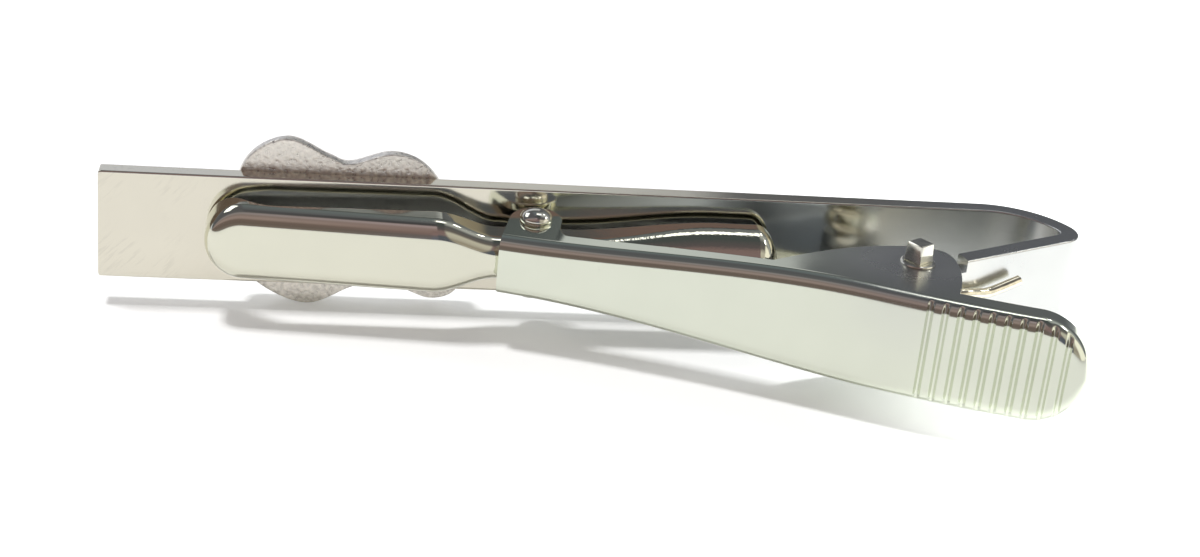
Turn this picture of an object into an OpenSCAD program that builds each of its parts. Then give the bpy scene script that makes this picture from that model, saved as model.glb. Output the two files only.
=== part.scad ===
// Tie clip with a sprung alligator lever, standing on its long edge as it is worn.
// X runs along the bar from its free end to its bend, Y from the lever towards the bar's front, Z up.

/* [Bar] */
// Length of the clip, from the bar's free end to the tip of its bend
bar_length = 54; // [50:0.5:60]
// Height of the bar, between its two long edges
bar_width = 6.2; // [5.4:0.1:7.4]
// Thickness of the strip that the bar is bent from
bar_thick = 1.05; // [0.9:0.05:1.2]
// Outer radius of the first, gentle stretch of the bend
bend_gentle_r = 5.15; // [4.2:0.05:6.2]
// Angle that the gentle stretch turns through
bend_gentle_turn = 65; // [55:1:75]
// Outer radius of the tight stretch of the bend
bend_tight_r = 1.65; // [1.4:0.05:2.2]
// Angle between the bar and the tongue that comes back from the bend
tongue_slope = 26.3; // [22:0.1:30]
// Distance from the middle of the tight bend to the hinge, along the tongue
tongue_reach = 10.15; // [9.2:0.05:11]
// Corner radius of the bar's free end
bar_corner_r = 0.3; // [0.1:0.05:0.8]

/* [Hinge] */
// Radius of the hinge pin
pin_r = 0.55; // [0.45:0.05:0.65]
// Running clearance round the hinge pin
pin_clear = 0.04; // [0.02:0.01:0.08]
// Radius of the bar's lugs round the pin
lug_r = 1.2; // [1.05:0.05:1.4]
// Thickness of one lug
lug_thick = 0.75; // [0.6:0.05:0.85]
// Height of the pin's squared end above its collar
pin_head_h = 1.05; // [0.7:0.05:1.3]
// Side of the squared end at its foot
pin_head_foot = 1.15; // [1:0.05:1.3]
// Side of the squared end at its top
pin_head_top = 1; // [0.7:0.05:1.1]
// Radius of the collar under the squared end
pin_collar_r = 0.95; // [0.85:0.05:1.1]
// Height of the collar
pin_collar_h = 0.14; // [0.1:0.02:0.24]

/* [Lever] */
// Thickness of the lever's sheet
sheet = 0.45; // [0.35:0.05:0.55]
// Width of the lever at its mouth
mouth_width = 3.4; // [3:0.1:4]
// Width of the lever at the hinge and the thumb pad
pad_width = 5.9; // [5.4:0.1:6.6]
// Distance along the face from the mouth to the hinge
lever_reach = 21.6; // [20:0.1:23]
// Distance along the face from the hinge to the middle of the pad's round end
pad_reach = 7.2; // [6.4:0.1:8.4]
// Radius that the channel's face is bowed to
channel_bow_r = 102; // [80:1:160]
// Radius that the thumb pad's face is bowed back to
pad_bow_r = 70; // [50:1:120]
// Height of the hinge pin above the lever's face
pin_height = 4.65; // [4.4:0.05:4.9]
// Outer radius of the lever's folded edges
fold_r = 0.8; // [0.7:0.05:0.95]
// Height of the low flange between the ears
flange_height = 1.6; // [1.4:0.05:1.9]
// Height of the rim round the thumb pad
pad_rim = 1.8; // [1.5:0.05:2.2]
// Height of the big ears at their peak
ear_height = 7.1; // [6.9:0.05:7.4]
// Radius of the small ears round the rivet
small_ear_r = 1.4; // [1.2:0.05:1.6]

/* [Thumb pad ribs] */
// Number of grooves between the ribs
groove_count = 10; // [6:1:10]
// Distance from one groove to the next
groove_pitch = 0.8; // [0.6:0.02:0.82]
// Width of a groove
groove_width = 0.3; // [0.2:0.02:0.4]
// Depth of a groove
groove_depth = 0.14; // [0.08:0.01:0.2]
// Distance from the hinge to the first groove, along the face
groove_start = 1.6; // [1.2:0.1:2]

/* [Jaw] */
// Length of the jaw from its nose to the rivet
jaw_reach = 17.85; // [15:0.05:18.5]
// Width of the jaw's gripping part
jaw_width = 4.2; // [3.4:0.1:4.6]
// Depth of the jaw at its nose
jaw_nose_depth = 2.3; // [2:0.05:2.5]
// Depth of the jaw's face below the bar where the jaw starts to narrow
jaw_shoulder_depth = 3.35; // [3.1:0.05:3.5]
// Depth of the jaw's face below the bar at its neck
jaw_neck_depth = 3.2; // [3.1:0.02:3.24]
// Length from the rivet to the end of the jaw's tail
tail_reach = 13.7; // [12:0.1:14]
// Width of the tail
tail_width = 3.5; // [3:0.1:3.7]
// Radius of the fold along the jaw's face
jaw_fold_r = 0.95; // [0.6:0.05:1.1]
// Thickness of the jaw's sheet
jaw_sheet = 0.45; // [0.35:0.05:0.55]
// Gap left between the jaw's nose and the bar
jaw_gap = 0.05; // [0.03:0.01:0.1]
// Distance of the jaw's raised rim from the bar, at the neck and the tail
rim_lift = 0.8; // [0.6:0.05:1]
// How far the jaw's side walls stand off the bar between its nose and its neck
waist_lift = 1.55; // [1:0.05:1.6]
// Length over which the jaw's rim rises from the nose
rim_rise = 3.6; // [3:0.1:5]

/* [Jaw rivet] */
// Radius of the rivet's shank
rivet_r = 0.45; // [0.35:0.05:0.5]
// Running clearance of the jaw on the rivet
rivet_clear = 0.04; // [0.02:0.01:0.08]
// Radius of the rivet's domed head
rivet_head_r = 0.9; // [0.76:0.02:1]
// Height of the rivet's domed head
rivet_head_h = 0.86; // [0.5:0.02:0.9]
// Distance of the rivet from the bar's back
rivet_depth = 1.55; // [1.5:0.01:1.6]
// Height of the rivet above the lever's face
rivet_height = 2.76; // [2.74:0.01:2.84]

/* [Torsion spring] */
// Diameter of the spring's wire
wire_d = 0.55; // [0.4:0.05:0.6]
// Clearance between the coil and the pin
coil_clear = 0.18; // [0.12:0.02:0.24]
// Whole turns of the coil, besides the part turn between its legs
coil_turns = 2; // [1:1:2]
// Length of the leg that lies along the tongue
leg_on_tongue = 6.1; // [5.4:0.1:6.8]
// Length of the leg that presses under the thumb pad
leg_under_pad = 6.6; // [5.6:0.1:7]

/* [Ornament] */
// Distance from the bar's free end to the ornament
ornament_start = 7; // [4:0.1:12]
// Length of the ornament
ornament_length = 13.1; // [9:0.1:16]
// Height of the ornament
ornament_height = 9.8; // [8:0.1:12]
// Thickness of the ornament at its edge
ornament_edge = 0.6; // [0.4:0.05:1]
// Height of the raised border on the ornament's front
ornament_border = 0.5; // [0.3:0.05:0.8]

/* [Hidden] */
$fn = 64;

// Overrun of every cut past the face that it goes through
cut_over = 0.5;
// Room between parts that turn past each other
turn_clear = 0.15;
// Side clearance between the lever's ears and the bar's lugs
side_clear = 0.05;
// Steps round a folded edge, and degrees from station to station round an end
fold_steps = 4;
end_step = 10;
// Length of the sheer side of the small ear
sheer_run = 0.03;

// Squares smaller than this count as nothing, so that points meant to meet do.
nothing = 0.000001;

function clamped(v) = max(0, min(1, v));
function root(v) = v > nothing ? sqrt(v) : 0;
function smooth(v) = let (c = clamped(v)) c * c * (3 - 2 * c);
function mixed(a, b, share) = a + (b - a) * share;
function turned(p, angle) = [p.x * cos(angle) - p.y * sin(angle), p.x * sin(angle) + p.y * cos(angle)];
function to_degrees(arc, radius) = arc / radius * 180 / PI;
function smaller(list, v) = [for (i = list) if (i < v) i];
function larger(list, v) = [for (i = list) if (i > v) i];
function sorted(list) = len(list) < 2 ? list :
    let (v = list[floor(len(list) / 2)])
    concat(sorted(smaller(list, v)), [v], sorted(larger(list, v)));

// The bend: a gentle arc, then a tight one, then the straight tongue.
tongue_turn = 180 - tongue_slope - bend_gentle_turn;
bend_start = bar_length - bend_tight_r
    - (bend_gentle_r - bend_tight_r) * sin(bend_gentle_turn);
gentle_mid = [bend_start, bar_thick - bend_gentle_r];
tight_mid = gentle_mid
    + (bend_gentle_r - bend_tight_r) * [sin(bend_gentle_turn), cos(bend_gentle_turn)];
// Directions along the tongue towards the hinge, and out of its outer face
tongue_dir = [-cos(tongue_slope), -sin(tongue_slope)];
tongue_out = [sin(tongue_slope), -cos(tongue_slope)];
// The pin stands just inside the tongue, level with its inner face.
pin_inset = pin_r * 0.15;
pin_off_outer = bar_thick + pin_inset;
pin_at = tight_mid + tongue_reach * tongue_dir + (bend_tight_r - pin_off_outer) * tongue_out;

// The lever's own frame: its face starts at the mouth along +X and bows down, with its inside up.
lever_bow = to_degrees(lever_reach - 2, channel_bow_r);
bow_length = lever_reach - 2;
bow_end = [channel_bow_r * sin(lever_bow), -channel_bow_r * (1 - cos(lever_bow))];
function face_angle(s) = s < bow_length
    ? to_degrees(s, channel_bow_r)
    : lever_bow - to_degrees(s - bow_length, pad_bow_r);
function face_at(s) = let (a = face_angle(s)) s < bow_length
    ? [channel_bow_r * sin(a), -channel_bow_r * (1 - cos(a))]
    : bow_end + pad_bow_r * [sin(lever_bow) - sin(a), cos(lever_bow) - cos(a)];
function face_up(s) = [sin(face_angle(s)), cos(face_angle(s))];
function lever_half(s) = mixed(mouth_width, pad_width, smooth(s / (lever_reach - 1))) / 2;

pin_in_lever = face_at(lever_reach) + pin_height * face_up(lever_reach);
rivet_in_lever = face_at(small_ear_r) + rivet_height * face_up(small_ear_r);
// The lever is turned about the pin until its rivet stands at rivet_depth from the bar.
pin_to_rivet = rivet_in_lever - pin_in_lever;
rivet_rise = -rivet_depth - pin_at.y;
lever_turn = 180 - asin(rivet_rise / norm(pin_to_rivet)) - atan2(pin_to_rivet.y, pin_to_rivet.x);
function from_lever(p) = pin_at + turned(p - pin_in_lever, lever_turn);
rivet_at = from_lever(rivet_in_lever);

// Stations along the lever
ear_start = lever_reach - ear_height;
ear_peak = lever_reach + ear_height * 0.11;
ear_end = ear_peak + (ear_height - pad_rim) * 0.39;
pad_mid = lever_reach + pad_reach;
pad_r = pad_width / 2;
first_groove = lever_reach + groove_start;
function lever_wall(s) = s <= 2 * small_ear_r
    ? rivet_height + sqrt(max(0, small_ear_r * small_ear_r - pow(s - small_ear_r, 2)))
    : s < ear_start ? flange_height
    : s < ear_peak
    ? mixed(flange_height, ear_height, sin(90 * (s - ear_start) / (ear_peak - ear_start)))
    : s < ear_end
    ? mixed(pad_rim, ear_height, sqrt(max(0, 1 - pow((s - ear_peak) / (ear_end - ear_peak), 2))))
    : pad_rim;
function groove_at(s) = max([for (k = [0 : groove_count - 1])
    groove_depth * clamped(1 - abs(s - first_groove - k * groove_pitch) / (groove_width / 2))]);
function past_pad(s) = max(0, s - pad_mid);

lever_stations = sorted(concat(
    [for (t = [0 : 22.5 : 180]) small_ear_r * (1 - cos(t))],
    [2 * small_ear_r + sheer_run],
    [for (k = [1 : 6]) mixed(2 * small_ear_r, ear_start, k / 7)],
    [for (k = [0 : 6]) mixed(ear_start, ear_peak, k / 6)],
    [for (t = [15 : 15 : 90]) mixed(ear_peak, ear_end, sin(t))],
    [for (k = [0 : groove_count - 1]) for (side = [-1 : 1])
        first_groove + k * groove_pitch + side * groove_width / 2],
    [for (t = [60 : end_step : 90]) pad_mid + pad_r * sin(t)]
));

// A pressed section from its free edge to its middle, as [half width, height] points.
// past is the distance past the middle of a round end, and floor_up the height of its face.
function fold_rise(rho, half, r) = let (d = max(0, rho - half + r)) r - root(r * r - d * d);
function half_section(past, half, r, wall, floor_up, groove) = concat(
    [[root(half * half - past * past), wall]],
    [for (k = [fold_steps : -1 : 0])
        let (rho = max(past, half - r + r * sin(90 * k / fold_steps)), rise = fold_rise(rho, half, r))
        [root(rho * rho - past * past), floor_up + rise + groove * (1 - rise / r)]],
    [let (rise = fold_rise(past, half, r)) [0, floor_up + rise + groove * (1 - rise / r)]]
);
// The whole section at a place in plan, as points in space
function section_at(place, up, half) = concat(
    [for (p = half) [place.x + up.x * p.y, place.y + up.y * p.y, p.x]],
    [for (i = [len(half) - 2 : -1 : 0])
        [place.x + up.x * half[i].y, place.y + up.y * half[i].y, -half[i].x]]
);

// A sheet pressed to an outer and an inner row of sections. Its first end may be open; a round end is
// drawn in until both sides of the section meet, and closes itself.
module pressed_sheet(outer, inner, open_end) {
    rows = len(outer);
    across = len(outer[0]);
    points = concat([for (row = outer) each row], [for (row = inner) each row]);
    function at(side, i, j) = (side * rows + i) * across + j;
    function quad(a, b, c, d) = [[a, b, c], [a, c, d]];
    skin = [for (i = [0 : rows - 2]) for (j = [0 : across - 2])
        each quad(at(0, i, j), at(0, i, j + 1), at(0, i + 1, j + 1), at(0, i + 1, j))];
    lining = [for (i = [0 : rows - 2]) for (j = [0 : across - 2])
        each quad(at(1, i, j), at(1, i + 1, j), at(1, i + 1, j + 1), at(1, i, j + 1))];
    rims = [for (i = [0 : rows - 2]) each concat(
        quad(at(0, i, 0), at(0, i + 1, 0), at(1, i + 1, 0), at(1, i, 0)),
        quad(at(0, i, across - 1), at(1, i, across - 1), at(1, i + 1, across - 1), at(0, i + 1, across - 1)))];
    mouth = [if (open_end) for (j = [0 : across - 2])
        each quad(at(0, 0, j), at(1, 0, j), at(1, 0, j + 1), at(0, 0, j + 1))];
    whole = [for (f = concat(skin, lining, rims, mouth))
        let (a = points[f[0]], b = points[f[1]], c = points[f[2]])
        if (norm(cross(b - a, c - a)) > nothing) f];
    polyhedron(points, whole);
}

function lever_section(s, off) =
    let (past = past_pad(s), shrink = past * off / pad_r, half = lever_half(s) - off)
    section_at(face_at(s - shrink), face_up(s - shrink),
        half_section(past - shrink, half, fold_r - off, lever_wall(s), off, off > 0 ? 0 : groove_at(s)));

module lever_sheet() {
    pressed_sheet(
        [for (s = lever_stations) lever_section(s, 0)],
        [for (s = lever_stations) lever_section(s, sheet)],
        true
    );
}

module on_lever() {
    translate(pin_at) rotate(lever_turn) translate(-pin_in_lever) children();
}

module upright_shaft(at, radius, height) {
    translate([at.x, at.y, 0]) cylinder(r = radius, h = height, center = true);
}

module lever() {
    color("gainsboro") difference() {
        on_lever() lever_sheet();
        upright_shaft(pin_at, pin_r, pad_width + 2 * cut_over);
        upright_shaft(rivet_at, rivet_r, mouth_width + 2 * cut_over);
    }
}

// The jaw lies along X, with its nose on the bar and its rim a little lifted at the neck.
jaw_half = jaw_width / 2;
tail_half = tail_width / 2;
neck_half = mouth_width / 2 - sheet - side_clear;
nose_x = rivet_at.x - jaw_reach;
nose_mid_x = nose_x + jaw_half;
neck_x = rivet_at.x - small_ear_r - turn_clear * 4;
shoulder_x = neck_x - jaw_width * 0.85;
tail_x = rivet_at.x + small_ear_r + turn_clear;
tail_end_x = rivet_at.x + tail_reach;
tail_round = tail_half * 0.75;
tail_mid_x = tail_end_x - tail_round;
tail_full_x = mixed(tail_x, tail_mid_x, 0.8);
rim_bump_run = rivet_r * 4;
function jaw_half_at(x) = x < tail_x
    ? mixed(jaw_half, neck_half, smooth((x - shoulder_x) / (neck_x - shoulder_x)))
    : mixed(neck_half, tail_half, smooth((x - tail_x) / (tail_full_x - tail_x)));
function jaw_depth_at(x) = x < shoulder_x
    ? mixed(jaw_nose_depth, jaw_shoulder_depth, (x - nose_x) / (shoulder_x - nose_x))
    : mixed(jaw_shoulder_depth, jaw_neck_depth, smooth((x - shoulder_x) / (neck_x - shoulder_x)));
function jaw_fold_at(x) = mixed(jaw_fold_r, tail_half, smooth((x - tail_x) / (tail_full_x - tail_x)));
function rim_bump(x) = (rim_lift - rivet_r / 2) / 2 * (1 + cos(180 * clamped(abs(x - rivet_at.x) / rim_bump_run)));
function jaw_rim_at(x) = x < shoulder_x
    ? mixed(jaw_gap, waist_lift, smooth((x - nose_x) / rim_rise))
    : x < neck_x
    ? mixed(waist_lift, rim_lift, smooth((x - shoulder_x) / (neck_x - shoulder_x)))
    : rim_lift - rim_bump(x);

function jaw_section(x, past, off) =
    let (r = min(jaw_fold_at(x), jaw_half_at(x)) - off)
    section_at([x, -jaw_depth_at(x)], [0, 1],
        half_section(past, jaw_half_at(x) - off, max(r, off / 4), jaw_depth_at(x) - jaw_rim_at(x), off, 0));
jaw_stations = sorted(concat(
    [for (k = [1 : 8]) mixed(nose_mid_x, shoulder_x, k / 9)],
    [for (k = [0 : 7]) mixed(shoulder_x, neck_x, k / 7)],
    [for (k = [-4 : 4]) rivet_at.x + k * rim_bump_run / 4],
    [for (k = [0 : 7]) mixed(tail_x, tail_full_x, k / 7)]
));
function jaw_sections(off) = concat(
    [for (t = [90 : -end_step : 0])
        jaw_section(nose_mid_x - (jaw_half - off) * sin(t), (jaw_half - off) * sin(t), off)],
    [for (x = jaw_stations) if (x > nose_mid_x && x < tail_mid_x) jaw_section(x, 0, off)],
    [for (t = [0 : end_step : 90])
        jaw_section(tail_mid_x + (tail_round - off) * sin(t), (tail_half - off) * sin(t), off)]
);

module jaw() {
    color("lightgray") difference() {
        pressed_sheet(jaw_sections(0), jaw_sections(jaw_sheet), false);
        upright_shaft(rivet_at, rivet_r + rivet_clear, mouth_width);
    }
}

// The domed head is a flattened ball on the shank, drawn from its neck to its crown.
module rivet_end() {
    neck = rivet_r * 1.15;
    rotate_extrude() polygon(concat(
        [[0, 0], [neck, 0]],
        [for (t = [-40 : 13 : 90]) [rivet_head_r * cos(t), rivet_head_h * (0.42 + 0.58 * sin(t))]]
    ));
}

module jaw_rivet() {
    seat = lever_half(small_ear_r);
    color("silver") translate([rivet_at.x, rivet_at.y, 0]) {
        cylinder(r = rivet_r, h = 2 * seat + rivet_head_h, center = true);
        for (side = [0, 1]) mirror([0, 0, side]) translate([0, 0, seat]) rivet_end();
    }
}

module pin_end() {
    cylinder(r = pin_collar_r, h = pin_collar_h);
    translate([0, 0, pin_collar_h]) rotate(pin_head_turn)
        cylinder(r1 = pin_head_foot / sqrt(2), r2 = pin_head_top / sqrt(2), h = pin_head_h, $fn = 4);
}
// The squared end is turned a little against the bar.
pin_head_turn = 80;

module hinge_pin() {
    color("silver") translate([pin_at.x, pin_at.y, 0]) {
        cylinder(r = pin_r, h = pad_width + pin_collar_h, center = true);
        for (side = [0, 1]) mirror([0, 0, side]) translate([0, 0, pad_width / 2]) pin_end();
    }
}

// The bar: a flat strip, its bend and its tongue, and two lugs that hold the pin.
lug_outer = pad_width / 2 - sheet - side_clear;
lug_inner = lug_outer - lug_thick;
ear_sweep_r = ear_height - pin_height + turn_clear * 2.4;
slot_r = pin_off_outer + wire_d + turn_clear * 3;

bend_step = 4;

// One side of the strip in plan, from the free end round the bend to the tongue's foot; in is how far
// that side lies inside the outer one.
function strip_side(in) = concat(
    [[0, bar_thick - in]],
    [for (t = [0 : bend_step : bend_gentle_turn - 1])
        gentle_mid + (bend_gentle_r - in) * [sin(t), cos(t)]],
    [for (k = [0 : ceil(tongue_turn / bend_step)])
        let (t = bend_gentle_turn + tongue_turn * k / ceil(tongue_turn / bend_step))
        tight_mid + (bend_tight_r - in) * [sin(t), cos(t)]],
    [tight_mid + (bend_tight_r - in) * tongue_out + tongue_reach * tongue_dir]
);

module bent_strip() {
    inner = strip_side(bar_thick);
    difference() {
        translate([0, 0, -bar_width / 2]) linear_extrude(bar_width)
            polygon(concat(strip_side(0), [for (k = [len(inner) - 1 : -1 : 0]) inner[k]]));
        for (side = [0, 1]) mirror([0, 0, side]) difference() {
            translate([-cut_over, -cut_over, bar_width / 2 - bar_corner_r])
                cube([bar_corner_r + cut_over, bar_thick + 2 * cut_over, bar_corner_r + cut_over]);
            translate([bar_corner_r, -2 * cut_over, bar_width / 2 - bar_corner_r]) rotate([-90, 0, 0])
                cylinder(r = bar_corner_r, h = bar_thick + 4 * cut_over);
        }
    }
}

module bar_lug(side) {
    translate([pin_at.x, pin_at.y, side > 0 ? lug_inner : -lug_outer])
        cylinder(r = lug_r, h = lug_thick);
}

module bar() {
    color("whitesmoke") difference() {
        union() {
            difference() {
                bent_strip();
                for (side = [0, 1]) mirror([0, 0, side])
                    translate([pin_at.x, pin_at.y, lug_outer]) cylinder(r = ear_sweep_r, h = bar_width);
                upright_shaft(pin_at, slot_r, 2 * lug_inner);
            }
            for (side = [-1, 1]) bar_lug(side);
        }
        upright_shaft(pin_at, pin_r + pin_clear, bar_width);
    }
}

// The spring: one wire from the leg on the tongue, round the coil, to the leg under the pad.
coil_r = pin_r + coil_clear + wire_d / 2;
coil_top = lug_inner - wire_d * 0.6;
leg_lean = 15;
curl_rings = 8;
wire_sides = 6;
tongue_leg_angle = tongue_slope - leg_lean;
tongue_leg_from = tongue_leg_angle - 90;
pad_leg_angle = lever_turn - face_angle(lever_reach) - 41;
pad_leg_from = pad_leg_angle + 90;
coil_sweep = tongue_leg_from - pad_leg_from + 360 * (coil_turns + 1);
coil_steps = ceil(coil_sweep / 360 * curl_rings);
function around_pin(r, angle, z) = [pin_at.x + r * cos(angle), pin_at.y + r * sin(angle), z];
function by_tongue(along, out, z) = [
    pin_at.x - along * tongue_dir.x + out * tongue_out.x,
    pin_at.y - along * tongue_dir.y + out * tongue_out.y, z];
coil_points = [for (k = [0 : coil_steps])
    around_pin(coil_r, pad_leg_from + coil_sweep * k / coil_steps, mixed(-coil_top, coil_top, k / coil_steps))];
pad_leg_start = around_pin(coil_r, pad_leg_from, -coil_top);
function along_pad_leg(d) = pad_leg_start + d * [cos(pad_leg_angle), sin(pad_leg_angle), 0];
leg_off = pin_off_outer + wire_d / 2 + side_clear;
tongue_leg = [
    by_tongue(slot_r, leg_off + wire_d * 0.17, coil_top * 1.04),
    by_tongue(leg_on_tongue * 0.54, leg_off + wire_d * 0.3, coil_top * 0.95),
    by_tongue(leg_on_tongue * 0.68, leg_off + wire_d * 0.37, coil_top * 0.94),
    by_tongue(leg_on_tongue, leg_off + wire_d * 0.4, coil_top * 1.2)
];
pad_leg = [for (share = [1, 0.66, 0.33]) along_pad_leg(leg_under_pad * share)];
wire_points = concat(pad_leg, coil_points, tongue_leg);
function unit(v) = v / norm(v);
function wire_way(i) = unit(wire_points[min(i + 1, len(wire_points) - 1)] - wire_points[max(i - 1, 0)]);
function wire_ring(i) =
    let (way = wire_way(i), side = unit(cross(way, [0, 0, 1])), up = cross(side, way))
    [for (k = [0 : wire_sides - 1])
        let (t = 360 * k / wire_sides) wire_points[i] + wire_d / 2 * (cos(t) * side + sin(t) * up)];
wire_gap = min([for (i = [0 : len(wire_points) - 1]) for (j = [i + curl_rings - 2 : len(wire_points) - 1])
    if (j < len(wire_points)) norm(wire_points[i] - wire_points[j])]) - wire_d;
echo(least_gap_of_the_spring_to_itself_mm = wire_gap);

module torsion_spring() {
    count = len(wire_points);
    points = [for (i = [0 : count - 1]) each wire_ring(i)];
    side_faces = [for (i = [0 : count - 2]) for (k = [0 : wire_sides - 1])
        let (a = i * wire_sides + k, b = i * wire_sides + (k + 1) % wire_sides)
        each [[a, b, b + wire_sides], [a, b + wire_sides, a + wire_sides]]];
    first_end = [for (k = [1 : wire_sides - 2]) [0, k + 1, k]];
    last = (count - 1) * wire_sides;
    last_end = [for (k = [1 : wire_sides - 2]) [last, last + k, last + k + 1]];
    color("khaki") polyhedron(points, concat(side_faces, first_end, last_end));
}

// The ornament: an outline with two uneven lobes, through points given as shares of its length and height.
outline_shares = [
    [0, 0.04], [0.057, 0.37], [0.22, 0.512], [0.4, 0.415], [0.495, 0.378], [0.68, 0.448],
    [0.832, 0.357], [0.955, 0.08], [1, -0.2], [0.965, -0.375], [0.86, -0.428], [0.73, -0.368],
    [0.63, -0.34], [0.52, -0.377], [0.33, -0.488], [0.122, -0.37], [0.023, -0.165]
];
outline_steps = 4;
function outline_place(k) = let (p = outline_shares[(k + len(outline_shares)) % len(outline_shares)])
    [ornament_start + p.x * ornament_length, p.y * ornament_height];
function curve_point(k, t) =
    let (a = outline_place(k - 1), b = outline_place(k), c = outline_place(k + 1), d = outline_place(k + 2))
    b + (c - a) * t / 2 + (2 * a - 5 * b + 4 * c - d) * t * t / 2 + (3 * b - a - 3 * c + d) * t * t * t / 2;
outline = [for (k = [0 : len(outline_shares) - 1]) for (i = [0 : outline_steps - 1])
    curve_point(k, i / outline_steps)];
ornament_mid = [ornament_start + ornament_length / 2, 0];
// The border's inner edge as a share of the outline, and the dome's rings inside it: each a share of the
// outline, and a height as a share of the border's
field_share = 0.9;
dome_rings = [[0.89, 0], [0.8, 0.32], [0.66, 0.58], [0.45, 0.78], [0.22, 0.88]];
dome_top = 0.91;
outline_top = max([for (p = outline) p.y]);
outline_bottom = min([for (p = outline) p.y]);
function outline_shrunk(share) = [for (p = outline) ornament_mid + (p - ornament_mid) * share];

// A plate with the outline, standing on the bar's front from one height to another
module outline_plate(share, low, high) {
    translate([0, bar_thick + high, 0]) rotate([90, 0, 0]) linear_extrude(high - low)
        polygon(outline_shrunk(share));
}

module ornament_dome() {
    count = len(outline);
    field = bar_thick + ornament_edge;
    // The dome's foot reaches a little into the plate, so that the two are one solid.
    foot = [for (p = outline_shrunk(dome_rings[0][0])) [p.x, field - ornament_edge / 2, p.y]];
    rings = concat([foot], [for (r = dome_rings)
        [for (p = outline_shrunk(r[0])) [p.x, field + r[1] * ornament_border, p.y]]]);
    points = concat([for (r = rings) each r], [
        [ornament_mid.x, field - ornament_edge / 2, ornament_mid.y],
        [ornament_mid.x, field + dome_top * ornament_border, ornament_mid.y]
    ]);
    centre = len(rings) * count;
    sides = [for (r = [0 : len(rings) - 2]) for (i = [0 : count - 1])
        let (a = r * count + i, b = r * count + (i + 1) % count)
        each [[a, b + count, b], [a, a + count, b + count]]];
    caps = [for (i = [0 : count - 1]) let (j = (i + 1) % count)
        each [[centre, i, j], [centre + 1, centre - count + j, centre - count + i]]];
    polyhedron(points, concat(sides, caps));
}

module ornament() {
    color("darkgray") union() {
        difference() {
            outline_plate(1, 0, ornament_edge + ornament_border);
            outline_plate(field_share, ornament_edge, ornament_edge + ornament_border + cut_over);
        }
        ornament_dome();
    }
}

// The clip stands on its lowest point, with the middle of its length and depth over the origin.
lever_low = min([for (s = lever_stations) for (p = lever_section(s, 0)) from_lever([p.x, p.y]).y]);
depth_high = bar_thick + ornament_edge + ornament_border;
stand_at = [-bar_length / 2, -(depth_high + lever_low) / 2, max(-outline_bottom, bar_width / 2)];

translate(stand_at) bar();
translate(stand_at) ornament();
translate(stand_at) lever();
translate(stand_at) hinge_pin();
translate(stand_at) torsion_spring();
translate(stand_at) jaw();
translate(stand_at) jaw_rivet();
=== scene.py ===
# %% [markdown]
# # A tie clip in polished nickel
# A pocket-sized clasp: a flat strip of metal bent back on itself, a pressed lever with a ribbed
# thumb pad, and a small trough-shaped jaw that grips the tie against the strip. All three are
# sheet metal, so each is a section of the sheet carried along a path. The CAD frame gives the
# places and the sizes, and this file gives each piece its finer shape and its finish.

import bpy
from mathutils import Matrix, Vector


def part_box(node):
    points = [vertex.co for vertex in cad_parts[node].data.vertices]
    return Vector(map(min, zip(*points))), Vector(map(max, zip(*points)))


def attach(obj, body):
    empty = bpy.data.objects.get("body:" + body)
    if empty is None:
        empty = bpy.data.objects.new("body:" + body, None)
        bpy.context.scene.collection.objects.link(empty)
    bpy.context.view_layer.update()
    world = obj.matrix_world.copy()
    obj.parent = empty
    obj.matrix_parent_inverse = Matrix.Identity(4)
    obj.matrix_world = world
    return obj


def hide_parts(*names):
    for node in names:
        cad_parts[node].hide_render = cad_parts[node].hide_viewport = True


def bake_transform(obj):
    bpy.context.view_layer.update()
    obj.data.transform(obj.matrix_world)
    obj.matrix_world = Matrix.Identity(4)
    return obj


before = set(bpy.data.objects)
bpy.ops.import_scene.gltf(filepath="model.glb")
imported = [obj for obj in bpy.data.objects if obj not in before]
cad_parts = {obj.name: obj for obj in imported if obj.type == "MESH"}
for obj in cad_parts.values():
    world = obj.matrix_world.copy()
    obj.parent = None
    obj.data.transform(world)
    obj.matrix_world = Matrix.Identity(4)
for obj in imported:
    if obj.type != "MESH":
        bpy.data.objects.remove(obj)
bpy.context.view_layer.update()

# %% Imports
import math
from functools import partial

import bmesh
import bpy
import numpy as np
from mathutils import Matrix, Vector

# %% [markdown]
# ## Working in millimetres
# A clip is described most easily from its strip, in millimetres: X from the free end, Y = 0 on
# the strip's back, Z = 0 on its middle line. The frame's own place for the strip says where that
# lies, so later cells think in these simple numbers, and only the last step makes them metres.

# %% Where the strip lies in the frame
MM = 0.001
BAR_THICK = 1.05
BAR_WIDTH = 6.2
bar_low, bar_high = (Vector(c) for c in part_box("bar"))
CLIP_AT = Vector((bar_low.x, bar_high.y - BAR_THICK * MM, (bar_low.z + bar_high.z) / 2))
print("the strip's back corner lies at", tuple(round(c, 5) for c in CLIP_AT))


def metres(points):
    """Clip millimetres to frame metres, for one point or many."""
    return np.asarray(points, float) * MM + np.array(CLIP_AT)


def placed(name, data):
    """A new object in the scene, round a mesh, a lamp or a camera."""
    piece = bpy.data.objects.new(name, data)
    bpy.context.collection.objects.link(piece)
    return piece


# %% [markdown]
# ## The camera
# The photograph looks down at the clip from in front of the lever, with a moderately long lens.
# The view was solved from the strip's own edges, so the camera stands where the photo's did. Its
# axes are written out as three rows, because that keeps the slight roll of the picture.

# %% Camera at the photograph's viewing angle
CAMERA_AT = (10.72, -107.05, 45.98)
CAMERA_RIGHT = (0.98893599, -0.11474018, 0.09402283)
CAMERA_DOWN = (0.03836566, -0.41442613, -0.90927392)
CAMERA_AHEAD = (0.14329577, 0.90282095, -0.40543883)
LENS, SENSOR_WIDTH, NEAREST = 63.0, 36.0, 0.005


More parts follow.
